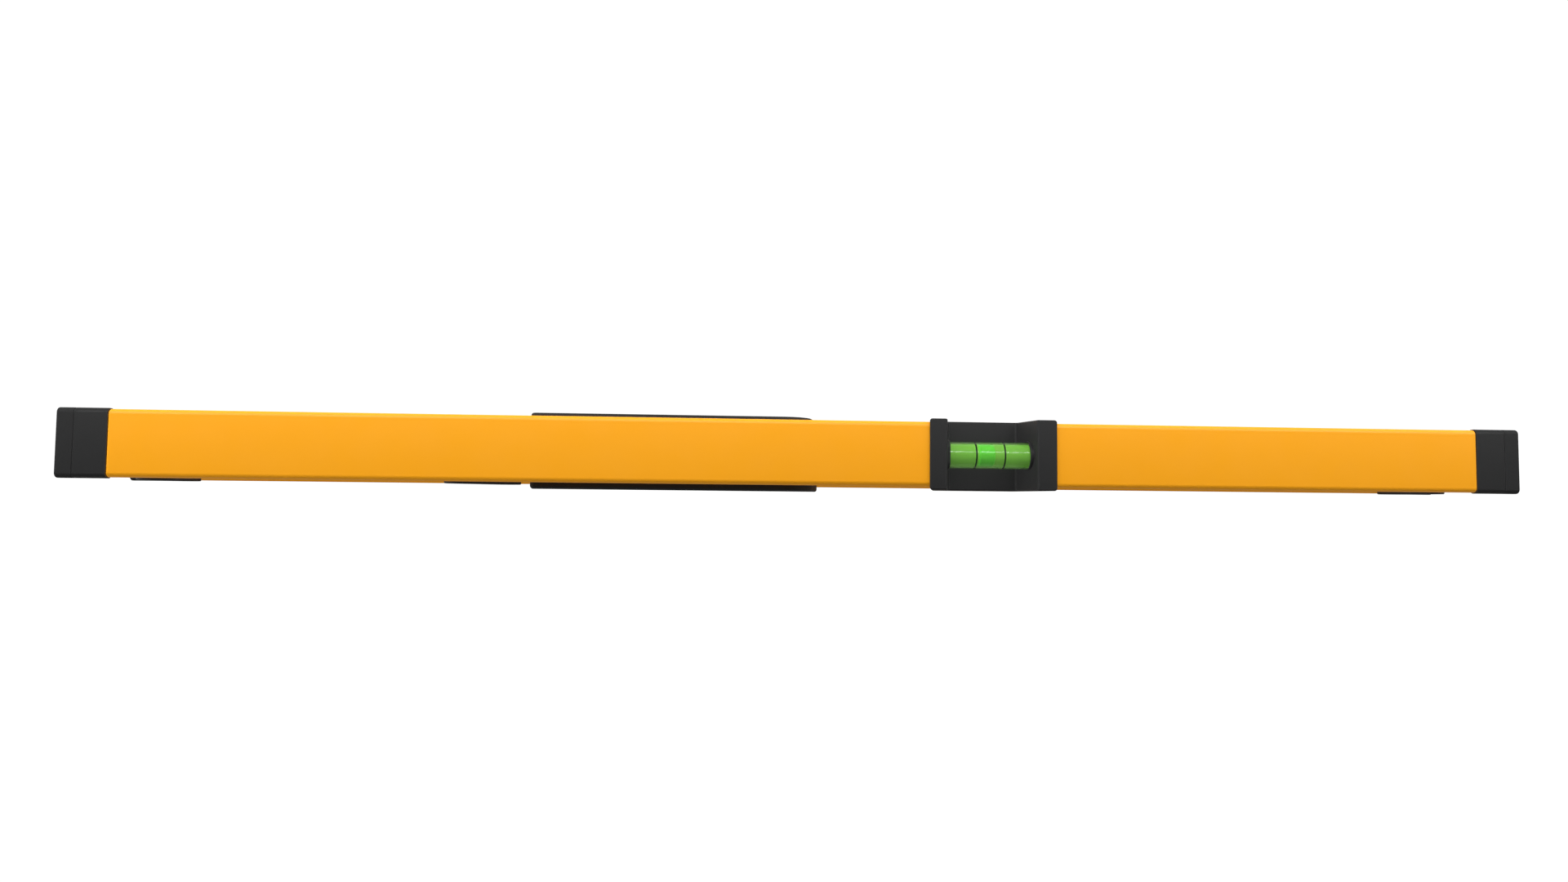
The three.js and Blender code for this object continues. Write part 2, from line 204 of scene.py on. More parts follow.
class Blank:
    """A closed body that is shaped with mesh operators until it is a finished piece."""

    def __init__(self) -> None:
        """Starts with an empty mesh."""
        self.mesh = bmesh.new()

    @classmethod
    def prism(cls, axis: Axis, outline: Outline, start: float, end: float) -> "Blank":
        """Extrudes an outline of a few corners.

        Args:
            axis: Direction of the extrusion.
            outline: Corners in order round the outline.
            start: Where the body starts along the axis.
            end: Where it ends.

        Returns:
            The closed body.
        """
        blank = cls()
        corners = [blank.mesh.verts.new(axis.place(u, v, start)) for u, v in outline]
        face = blank.mesh.faces.new(corners)
        blank.push([face], axis.vector * (end - start))
        return blank.healed()

    @classmethod
    def bar(cls, low: Vector, high: Vector) -> "Blank":
        """A rectangular body between two corners.

        Args:
            low: Lowest corner.
            high: Highest corner.

        Returns:
            The closed body.
        """
        blank = cls()
        size = high - low
        place = Matrix.Translation((low + high) / 2) @ Matrix.Diagonal((*size, 1))
        bmesh.ops.create_cube(blank.mesh, size=1, matrix=place)
        return blank

    @classmethod
    def slot(cls, length: float, width: float, start: float, end: float) -> "Blank":
        """A body with round ends, long in X and extruded along Y.

        Args:
            length: Length over both round ends.
            width: Distance between its straight sides.
            start: Lowest Y.
            end: Highest Y.

        Returns:
            The closed body.
        """
        blank = cls()
        blank.slot_loop((length, width, start), capped=True)
        blank.push(list(blank.mesh.faces), Vector((0, end - start, 0)))
        return blank.healed()

    @classmethod
    def slot_ring(cls, sections: Sequence[tuple[float, float, float]]) -> "Blank":
        """A ring of round-ended outlines, each joined to the next, and the last to the first.

        Args:
            sections: Length, width and Y of each outline.

        Returns:
            The closed body.
        """
        blank = cls()
        edges = blank.slot_loop(sections[0])
        for before, after in zip(sections, [*sections[1:], sections[0]]):
            grown = bmesh.ops.extrude_edge_only(blank.mesh, edges=edges)["geom"]
            edges = [part for part in grown if isinstance(part, BMEdge)]
            shift, scale = (after[0] - after[1] - before[0] + before[1]) / 2, after[1] / before[1]
            middle = (before[0] - before[1]) / 2
            for vert in [part for part in grown if isinstance(part, BMVert)]:
                beyond = (abs(vert.co.x) - middle) * scale
                vert.co = (math.copysign(middle + shift + beyond, vert.co.x), after[2], vert.co.z * scale)
        return blank.healed()

    @classmethod
    def rod(cls, start: float, end: float, radius: float) -> "Blank":
        """A round rod about the X axis."""
        return cls.turned([(start, 0), (start, radius), (end, radius), (end, 0)])

    @classmethod
    def turned(cls, profile: Outline) -> "Blank":
        """Turns a profile about the X axis.

        Args:
            profile: Points as distance along X and radius; a profile that stays clear of the axis is
                closed on itself, and any other starts and ends on the axis.

        Returns:
            The closed body.
        """
        blank = cls()
        points = [blank.mesh.verts.new((along, 0, radius)) for along, radius in profile]
        pairs = list(zip(points, points[1:]))
        if min(profile[0][1], profile[-1][1]) > 0:
            pairs.append((points[-1], points[0]))
        edges = [blank.mesh.edges.new(pair) for pair in pairs]
        bmesh.ops.spin(
            blank.mesh,
            geom=points + edges,
            cent=(0, 0, 0),
            axis=(1, 0, 0),
            angle=math.tau,
            steps=ROUND_FACETS,
            use_merge=True,
        )
        return blank.healed()

    def slot_loop(self, section: tuple[float, float, float], capped: bool = False) -> list[BMEdge]:
        """Adds one closed line with round ends, long in X.

        Args:
            section: Its length over both round ends, its width and its Y.
            capped: Whether a face fills it.

        Returns:
            Its edges.
        """
        length, width, at = section
        upright = Matrix.Rotation(math.pi / 2, 4, "X")
        half_step = Matrix.Rotation(math.pi / SLOT_FACETS, 4, "Z")
        made = bmesh.ops.create_circle(
            self.mesh,
            cap_ends=capped,
            segments=SLOT_FACETS,
            radius=width / 2,
            matrix=Matrix.Translation((0, at, 0)) @ upright @ half_step,
        )
        for vert in made["verts"]:
            vert.co.x += math.copysign((length - width) / 2, vert.co.x)
        return list(self.mesh.edges)

    def push(self, faces: list[BMFace], way: Vector) -> None:
        """Extrudes faces together."""
        grown = bmesh.ops.extrude_face_region(self.mesh, geom=faces)["geom"]
        bmesh.ops.translate(self.mesh, verts=[part for part in grown if isinstance(part, BMVert)], vec=way)

    def rounded(self, chosen: EdgeChoice, radius: float, facets: Facets) -> "Blank":
        """Rounds some of the body's edges.

        Args:
            chosen: Tells which edges are rounded.
            radius: Radius of the rounding on a square edge.
            facets: How finely it is made.

        Returns:
            This body.
        """
        self.mesh.normal_update()
        bmesh.ops.bevel(
            self.mesh,
            geom=[edge for edge in self.mesh.edges if chosen(edge)],
            offset=radius,
            offset_type="OFFSET",
            segments=facets,
            profile=0.5,
            affect="EDGES",
            clamp_overlap=True,
            material=-1,
        )
        return self

    def healed(self) -> "Blank":
        """Merges doubled points and turns every face outwards."""
        bmesh.ops.remove_doubles(self.mesh, verts=self.mesh.verts, dist=WELD_DISTANCE)
        bmesh.ops.recalc_face_normals(self.mesh, faces=self.mesh.faces)
        if self.mesh.calc_volume(signed=True) < 0:
            bmesh.ops.reverse_faces(self.mesh, faces=self.mesh.faces)
        return self

    def mirrored(self, axis: Axis) -> "Blank":
        """Mirrors the body in the plane through the origin across an axis.

        Args:
            axis: Direction that is turned round.

        Returns:
            This body.
        """
        factors = Vector((1, 1, 1)) - 2 * axis.vector
        bmesh.ops.scale(self.mesh, verts=self.mesh.verts, vec=factors)
        return self.healed()

    def placed(self, matrix: Matrix) -> "Blank":
        """Moves and turns the body."""
        bmesh.ops.transform(self.mesh, verts=self.mesh.verts, matrix=matrix)
        return self

    def combined(self, other: "Blank", join: Join) -> "Blank":
        """Cuts another body out of this one, or welds it on.

        Args:
            other: The other body, which is used up.
            join: Whether it cuts or is welded.

        Returns:
            This body.
        """
        target = self.as_object("target")
        tool = other.as_object("tool")
        boolean = target.modifiers.new("join", "BOOLEAN")
        boolean.operation = join.value
        boolean.solver = "EXACT"
        boolean.object = tool
        shaped = target.evaluated_get(bpy.context.evaluated_depsgraph_get()).to_mesh()
        self.mesh = bmesh.new()
        self.mesh.from_mesh(shaped)
        for used in (target, tool):
            mesh = used.data
            bpy.data.objects.remove(used)
            bpy.data.meshes.remove(mesh)
        bmesh.ops.remove_doubles(self.mesh, verts=self.mesh.verts, dist=WELD_DISTANCE)
        bmesh.ops.dissolve_degenerate(self.mesh, edges=self.mesh.edges, dist=WELD_DISTANCE)
        return self

    def cut(self, other: "Blank") -> "Blank":
        """Cuts another body, which is used up, out of this one."""
        return self.combined(other, Join.CUT)

    def as_object(self, name: str) -> bpy.types.Object:
        """Turns the body into a mesh object at the origin.

        Args:
            name: Name of the object.

        Returns:
            The object, in the scene.
        """
        mesh = bpy.data.meshes.new(name)
        self.mesh.to_mesh(mesh)
        self.mesh.free()
        made = bpy.data.objects.new(name, mesh)
        bpy.context.scene.collection.objects.link(made)
        return made

    def piece(self, name: str, finish: "Finish", replaces: str, body: str = ROOT_BODY) -> bpy.types.Object:
        """Finishes the body as a piece of the level.

        Args:
            name: Name of the piece.
            finish: Its surface.
            replaces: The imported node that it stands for.
            body: The body that it moves with.

        Returns:
            The finished object.
        """
        self.mesh.normal_update()
        for face in self.mesh.faces:
            face.smooth = True
        for edge in self.mesh.edges:
            edge.smooth = not is_sharp(edge)
        made = self.as_object(name)
        made.data.materials.append(finish.material())
        made.visible_shadow = finish.casts_shadow
        made.visible_diffuse = finish.casts_shadow
        shading = made.modifiers.new("flat faces stay flat", "WEIGHTED_NORMAL")
        shading.keep_sharp = True
        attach(made, body)
        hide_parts(replaces)
        LOG.info("%s: %d faces, %s, on %s", name, len(made.data.polygons), finish.name, body)
        return made


# ----------------------------------------------------------------------------------------- finishes


class NodeTree:
    """A material's nodes, added and linked by name."""

    def __init__(self, name: str) -> None:
        """Starts a material with one surface shader.

        Args:
            name: Name of the material.
        """
        self.material = bpy.data.materials.new(name)
        self.material.use_nodes = True
        self.tree = self.material.node_tree
        self.tree.nodes.clear()
        self.output = self.add("ShaderNodeOutputMaterial")
        self.surface = self.add("ShaderNodeBsdfPrincipled")
        self.tree.links.new(self.surface.outputs["BSDF"], self.output.inputs["Surface"])
        self.place = self.add("ShaderNodeTexCoord").outputs["Object"]

    def add(self, kind: str, **inputs: object) -> bpy.types.Node:
        """Adds a node.

        Args:
            kind: Type of the node.
            **inputs: Values or sockets for its inputs, with spaces in their names written as _.

        Returns:
            The node.
        """
        node = self.tree.nodes.new(kind)
        for key, value in inputs.items():
            self.feed(node.inputs[key.replace("_", " ")], value)
        return node

    def feed(self, socket: bpy.types.NodeSocket, value: object) -> None:
        """Links a socket to another, or sets its value.

        Args:
            socket: Input that is fed.
            value: A socket to link from, or a plain value.
        """
        if isinstance(value, bpy.types.NodeSocket):
            self.tree.links.new(value, socket)
        else:
            socket.default_value = value

    def noise(self, size: float, detail: float) -> bpy.types.NodeSocket:
        """Adds a cloudy pattern."""
        made = self.add("ShaderNodeTexNoise", Vector=self.place, Scale=1 / size, Detail=detail)
        return made.outputs["Fac"]

    def between(self, factor: bpy.types.NodeSocket, low: float, high: float) -> bpy.types.NodeSocket:
        """Spreads a pattern's middle strengths between two values.

        Args:
            factor: The pattern.
            low: Value where the pattern is weak.
            high: Value where it is strong.

        Returns:
            The spread value.
        """
        made = self.add("ShaderNodeMapRange", Value=factor)
        for socket, value in zip(made.inputs[1:5], (*PATTERN_MIDDLE, low, high)):
            socket.default_value = value
        return made.outputs["Result"]

    def blend(self, factor: bpy.types.NodeSocket, low: Vector, high: Vector) -> bpy.types.NodeSocket:
        """Blends two colours by a pattern.

        Args:
            factor: The pattern.
            low: Colour where the pattern is weak.
            high: Colour where it is strong.

        Returns:
            The blended colour.
        """
        made = self.add("ShaderNodeMix")
        made.data_type = "RGBA"
        self.feed(made.inputs["Factor"], factor)
        made.inputs[6].default_value = (*low, 1)
        made.inputs[7].default_value = (*high, 1)
        return made.outputs[2]

    def bump(self, height: bpy.types.NodeSocket, depth: float) -> bpy.types.NodeSocket:
        """Turns a pattern into relief."""
        return self.add("ShaderNodeBump", Height=height, Distance=depth, Strength=1.0).outputs["Normal"]


@dataclass(frozen=True)
class Finish:
    """A surface with a fine grain, uneven gloss and slow drift of its colour."""

    name: str
    slot: str
    colour: tuple[float, float, float]
    roughness: float
    specular: float = 0.5
    drift: float = 0.04
    drift_size: float = 0.03
    grain_size: float = 0.0005
    grain_depth: float = 0.00002
    gloss_spread: float = 0.05
    casts_shadow: bool = True

    def material(self) -> bpy.types.Material:
        """Makes the material once and hands it out after that."""
        return bpy.data.materials.get(self.name) or self.made().material

    def shade(self, factor: float) -> Vector:
        """The finish's colour, made lighter or darker by a factor."""
        return Vector([min(channel * factor, 1.0) for channel in self.colour])

    def made(self) -> NodeTree:
        """Builds the nodes.

        Returns:
            The finished nodes.
        """
        nodes = NodeTree(self.name)
        shader = nodes.surface
        drift = nodes.noise(self.drift_size, DRIFT_LAYERS)
        colour = nodes.blend(drift, self.shade(1 - self.drift), self.shade(1 + self.drift))
        nodes.feed(shader.inputs["Base Color"], colour)
        gloss = nodes.noise(self.drift_size * GLOSS_PATCH, GLOSS_LAYERS)
        low, high = self.roughness - self.gloss_spread, self.roughness + self.gloss_spread
        nodes.feed(shader.inputs["Roughness"], nodes.between(gloss, low, high))
        grain = nodes.noise(self.grain_size, GRAIN_LAYERS)
        nodes.feed(shader.inputs["Normal"], nodes.bump(grain, self.grain_depth))
        shader.inputs["Specular IOR Level"].default_value = self.specular
        return nodes


@dataclass(frozen=True)
class ClearFinish(Finish):
    """A tinted clear surface under a glossy skin, which throws no shadow."""

    casts_shadow: bool = False
    alpha: float = 0.9
    coat_roughness: float = 0.08

    def made(self) -> NodeTree:
        """Builds the nodes of the grain, then makes the surface clear.

        Returns:
            The finished nodes.
        """
        nodes = super().made()
        shader = nodes.surface
        shader.inputs["Alpha"].default_value = self.alpha
        shader.inputs["Coat Weight"].default_value = 1
        shader.inputs["Coat Roughness"].default_value = self.coat_roughness
        return nodes


YELLOW_PAINT = Finish(
    name="yellow powder coat",
    slot="yellow_paint",
    colour=(1.0, 0.40, 0.006),
    roughness=0.42,
    specular=0.35,
    drift=0.015,
    drift_size=0.05,
    grain_size=0.0011,
    grain_depth=0.000006,
)
MOULDED_PLASTIC = Finish(
    name="black moulded plastic",
    slot="black_plastic",
    colour=(0.0165, 0.0165, 0.0167),
    roughness=0.52,
    specular=0.4,
    grain_size=0.0004,
    grain_depth=0.000012,
)
BLACK_RUBBER = Finish(
    name="black rubber",
    slot="black_rubber",
    colour=(0.0170, 0.0170, 0.0173),
    roughness=0.68,
    specular=0.36,
    grain_size=0.0006,
    grain_depth=0.00002,
)
LINE_INK = Finish(
    name="black reading line",
    slot="black_ring",
    colour=(0.004, 0.008, 0.003),
    roughness=0.3,
    drift=0.1,
    grain_depth=0.000002,
    casts_shadow=False,
)
CLEAR_ACRYLIC = ClearFinish(
    name="clear acrylic",
    slot="clear_acrylic",
    colour=(0.20, 0.50, 0.09),
    roughness=0.08,
    drift=0.03,
    grain_size=0.004,
    grain_depth=0.0000005,
    gloss_spread=0.01,
    alpha=0.2,
)
GREEN_LIQUID = ClearFinish(
    name="green liquid",
    slot="green_liquid",
    colour=(0.152, 0.46, 0.036),
    roughness=0.4,
    specular=0.2,
    drift=0.06,
    drift_size=0.006,
    grain_size=0.003,
    grain_depth=0.00001,
)
TRAPPED_AIR = ClearFinish(
    name="trapped air",
    slot="air_bubble",
    colour=(0.055, 0.64, 0.018),
    roughness=0.1,
    drift=0.08,
    drift_size=0.003,
    grain_size=0.0016,
    grain_depth=0.00012,
    gloss_spread=0.03,
)


# ----------------------------------------------------------------------------------- the aluminium beam


@dataclass(frozen=True)
class Section:
    """Cross-section of the level: full-width bands along top and base, with side walls between them."""

    width: float
    height: float
    band: float = 4 * MM
    recess: float = 1.6 * MM
    corner: float = 2 * MM
    soft_edge: float = 0.5 * MM

    @property
    def wall_face(self) -> float:
        """Distance of a side wall's outer face from the level's middle."""
        return self.width / 2 - self.recess

    def outline(self) -> list[tuple[float, float]]:
        """The twelve corners, in order round the section."""
        half, wall = self.width / 2, self.wall_face
        top, base = self.height, 0.0
        right = [
            (half, base),
            (half, base + self.band),
            (wall, base + self.band + self.recess),
            (wall, top - self.band - self.recess),
            (half, top - self.band),
            (half, top),
        ]
        return right + [(-y, z) for y, z in reversed(right)]

    def is_outer_corner(self, edge: BMEdge) -> bool:
        """Tells whether an edge is one of the four long outer corners.

        Args:
            edge: Edge of a bar of this section.

        Returns:
            True for an outer corner.
        """
        y, z = abs(edge.verts[0].co.y), edge.verts[0].co.z
        at_face = min(z, self.height - z) < NEAR
        return runs_along(edge, Axis.X) and at_face and self.width / 2 - y < NEAR

    def bar(self, start: float, end: float) -> Blank:
        """A solid bar of this section.

        Args:
            start: One end along X.
            end: The other end.

        Returns:
            The bar, with its long edges rounded.
        """
        blank = Blank.prism(Axis.X, self.outline(), min(start, end), max(start, end))
        blank.rounded(self.is_outer_corner, self.corner, Facets.BEND)
        blank.rounded(sharp_along(Axis.X), self.soft_edge, Facets.FINE)
        return blank


@dataclass(frozen=True)
class Notch:
    """The gap in the beam's top that the saddle fills, with both ends leaning in like the saddle's."""

    lean: float = 8 * MM
    lap: float = 1.8 * MM
    floor: float = 36 * MM
    saddle: Span = field(default_factory=lambda: Span.of("top_vial_housing"))

    def outline(self, low: float, high: float, inset: float = 0.0) -> list[tuple[float, float]]:
        """An outline with the saddle's leaning ends, in X and Z."""
        (low_left, low_right), (high_left, high_right) = self.ends(low, inset), self.ends(high, inset)
        return [(low_left, low), (low_right, low), (high_right, high), (high_left, high)]

    def ends(self, height: float, inset: float = 0.0) -> tuple[float, float]:
        """Where the leaning ends lie along X."""
        drawn_in = self.lean * (self.saddle.high.z - height) / self.saddle.size.z + inset
        return self.saddle.low.x + drawn_in, self.saddle.high.x - drawn_in

    def body(self, shrink: float = 0.0) -> Blank:
        """The gap as a body that reaches above the level and past both walls."""
        outline = self.outline(self.floor + shrink, self.saddle.high.z + MM, self.lap + shrink)
        return Blank.prism(Axis.Y, outline, -THROUGH, THROUGH)


@dataclass
class Beam:
    """The painted aluminium extrusion: hollow, with the saddle's notch and the small vials' slots."""

    wall: float = 2 * MM
    plate: float = 3.2 * MM
    inner_corner: float = 1 * MM
    end_radius: float = 0.5 * MM
    clearance: float = 0.3 * MM
    notch: Notch = field(default_factory=Notch)
    span: Span = field(default_factory=lambda: Span.of("beam"))

    def section(self) -> Section:
        """The beam's outside section."""
        return Section(self.span.size.y, self.span.size.z)

    def hollow(self, inset: float = 0.0) -> Blank:
        """The space inside the walls, from end to end.

        Args:
            inset: How far it is drawn in from the walls.

        Returns:
            The space as a body.
        """
        side = self.section().wall_face - self.wall - inset
        low = self.plate + inset
        high = self.span.high.z - self.plate - inset
        reach = self.span.high.x + THROUGH
        space = Blank.bar(Vector((-reach, -side, low)), Vector((reach, side, high)))
        return space.rounded(along(Axis.X), self.inner_corner, Facets.FINE)

    def build(self, holders: Sequence["VialHolder"]) -> None:
        """Makes the beam.

        Args:
            holders: The small vials' holders, which pass through the side walls.
        """
        beam = self.section().bar(self.span.low.x, self.span.high.x)
        beam.rounded(
            lambda edge: is_sharp(edge) and not runs_along(edge, Axis.X),
            self.end_radius,
            Facets.FINE,
        )
        beam.cut(self.hollow())
        beam.cut(self.notch.body())
        for holder in holders:
            beam.cut(holder.hole(self.clearance))
        beam.piece("beam_extrusion", YELLOW_PAINT, "beam")


# ------------------------------------------------------------------------------------------- the ends


@dataclass
class EndPieces:
    """The plastic cap that plugs one end of the beam, and the rubber pad on its face."""

    end: End
    beam: Beam
    seam: float = 0.05 * MM
    prong_length: float = 12 * MM
    prong_height: float = 8.5 * MM
    rim: float = 2.6 * MM
    recess: float = 0.45 * MM
    edge_radius: float = 0.55 * MM
    face_radius: float = 0.65 * MM

    @property
    def side(self) -> str:
        """The end's name as it starts the pieces' names."""
        return self.end.name.lower()

    def section(self, node: str) -> Section:
        """The section of a node at this end, which stands a little proud of the beam."""
        size = Span.of(node).size
        return Section(size.y, size.z)

    def outward(self, span: Span) -> tuple[float, float]:
        """The places of a span's inner and outer faces along X."""
        if self.end is End.RIGHT:
            return span.low.x, span.high.x
        return span.high.x, span.low.x

    def build(self) -> None:
        """Makes the cap and its pad."""
        cap, pad = Span.of(f"{self.side}_end_cap"), Span.of(f"{self.side}_end_pad")
        _, cap_face = self.outward(cap)
        _, pad_face = self.outward(pad)
        way = self.end.value
        collar_start = self.outward(self.beam.span)[1] + way * self.beam.clearance
        parting = cap_face + way * self.beam.clearance / 2
        half_seam = way * self.seam / 2
        self.cap(collar_start, parting - half_seam)
        self.pad(parting + half_seam, pad_face)

    def cap(self, start: float, face: float) -> None:
        """Makes the cap with two prongs that grip inside the beam.

        Args:
            start: Where its collar starts along X.
            face: Where its outer face lies.
        """
        cap = self.section(f"{self.side}_end_cap").bar(start, face)
        cap.rounded(self.end_edges(face), self.edge_radius / 2, Facets.FINE)
        cap.rounded(self.end_edges(start), self.edge_radius / 2, Facets.FINE)
        for low in (True, False):
            cap.combined(self.prong(start, low), Join.WELD)
        cap.piece(f"{self.side}_cap_block", MOULDED_PLASTIC, f"{self.side}_end_cap")

    def prong(self, start: float, low: bool) -> Blank:
        """One of the cap's prongs.

        Args:
            start: Where the collar starts along X.
            low: Whether it is the lower prong.

        Returns:
            The prong, with its root inside the collar.
        """
        gap = self.beam.clearance
        side = self.beam.section().wall_face - self.beam.wall - gap
        base = self.beam.plate + gap
        if not low:
            base = self.beam.span.high.z - base - self.prong_height
        reach = start - self.end.value * self.prong_length
        root = start + self.end.value * self.edge_radius * 2
        corner = Vector((min(reach, root), -side, base))
        far = Vector((max(reach, root), side, base + self.prong_height))
        return Blank.bar(corner, far).rounded(is_sharp, self.beam.inner_corner, Facets.FINE)

    def panel(self, face: float) -> Blank:
        """The shallow panel that is sunk in the pad's face.

        Args:
            face: Where the pad's outer face lies.

        Returns:
            The panel's space.
        """
        size = Span.of(f"{self.side}_end_pad").size
        side = size.y / 2 - self.beam.section().recess - self.rim
        depth = self.end.value * self.recess
        low = Vector((min(face - depth, face + depth), -side, self.rim * 2))
        high = Vector((max(face - depth, face + depth), side, size.z - self.rim * 2))
        return Blank.bar(low, high).rounded(along(Axis.X), self.rim, Facets.BEND)

    def end_edges(self, at: float) -> EdgeChoice:
        """Chooses the edges round the flat face at one place along X."""
        return lambda edge: is_sharp(edge) and all(abs(v.co.x - at) < NEAR for v in edge.verts)

    def pad(self, start: float, face: float) -> None:
        """Makes the shock pad, with a shallow panel in its face.

        Args:
            start: Where it meets the cap along X.
            face: Where its outer face lies.
        """
        pad = self.section(f"{self.side}_end_pad").bar(start, face)
        pad.rounded(self.end_edges(start), self.edge_radius / 2, Facets.FINE)
        pad.rounded(self.end_edges(face), self.face_radius, Facets.EDGE)
        pad.cut(self.panel(face))
        pad.piece(f"{self.side}_shock_pad", BLACK_RUBBER, f"{self.side}_end_pad")


# ------------------------------------------------------------------------------------------ the grips


@dataclass
class Grip:
    """The rubber grip on one side wall, with long grooves along its face."""

    side: Side
    left_slant: float = 4.8 * MM
    right_slant: float = 6.6 * MM
    corner: float = 1.8 * MM
    far_corner: float = 11 * MM
    edge_radius: float = 1 * MM
    rim: float = 3.4 * MM
    grooves: int = 8
    groove_width: float = 1.5 * MM
    groove_depth: float = 0.7 * MM
    wall_gap: float = 0.05 * MM

    @property
    def node(self) -> str:
        """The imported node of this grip."""
        return f"{self.side.label}_grip"

    @property
    def span(self) -> Span:
        """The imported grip's box."""
        return Span.of(self.node)

    def outline(self) -> list[tuple[float, float]]:
        """The four corners of the grip, in X and Z."""
        low, high = self.span.low.z, self.span.high.z
        left, right = self.ends(low)
        top_left, top_right = self.ends(high)
        return [(left, low), (right, low), (top_right, high), (top_left, high)]

    def ends(self, height: float) -> tuple[float, float]:
        """Where the grip's slanted ends lie along X at a height."""
        share = (height - self.span.low.z) / self.span.size.z
        return self.span.low.x + self.left_slant * share, self.span.high.x - self.right_slant * share

    def build(self, beam: Beam) -> None:
        """Makes the grip.

        Args:
            beam: The beam whose wall it lies on.
        """
        face = self.span.side_face
        grip = Blank.prism(Axis.Y, self.outline(), beam.section().wall_face + self.wall_gap, face)
        grip.rounded(self.is_far, self.far_corner, Facets.SWEEP)
        grip.rounded(sharp_along(Axis.Y), self.corner, Facets.CORNER)
        grip.rounded(sharp_beyond(Axis.Y, face - NEAR), self.edge_radius, Facets.EDGE)
        for groove in self.groove_bodies(face):
            grip.cut(groove)
        if self.side is Side.FRONT:
            grip.mirrored(Axis.Y)
        grip.piece(f"{self.side.label}_hand_grip", BLACK_RUBBER, self.node)

    def is_far(self, edge: BMEdge) -> bool:
        """Tells whether an edge is the upper right corner, which is the roundest one."""
        point, centre = edge.verts[0].co, self.span.centre
        return runs_along(edge, Axis.Y) and point.x > centre.x and point.z > centre.z

    def groove_bodies(self, face: float) -> list[Blank]:
        """The round-ended grooves along the grip, each as long as the slanted outline allows.

        Args:
            face: Distance of the grip's outer face from the level's middle.

        Returns:
            The grooves' spaces.
        """
        span = self.span
        low, high = span.low.z + self.rim, span.high.z - self.rim
        bodies = []
        for number in range(self.grooves):
            height = low + (high - low) * number / (self.grooves - 1)
            left, right = self.ends(height)
            left += self.rim
            right -= self.rim + self.far_corner * max(0.0, (height - span.centre.z) / span.size.z) ** 2
            groove = Blank.slot(right - left, self.groove_width, face - self.groove_depth, face + MM)
            bodies.append(groove.placed(Matrix.Translation(((left + right) / 2, 0, height))))
        return bodies


# --------------------------------------------------------------------------------- the top vial's saddle


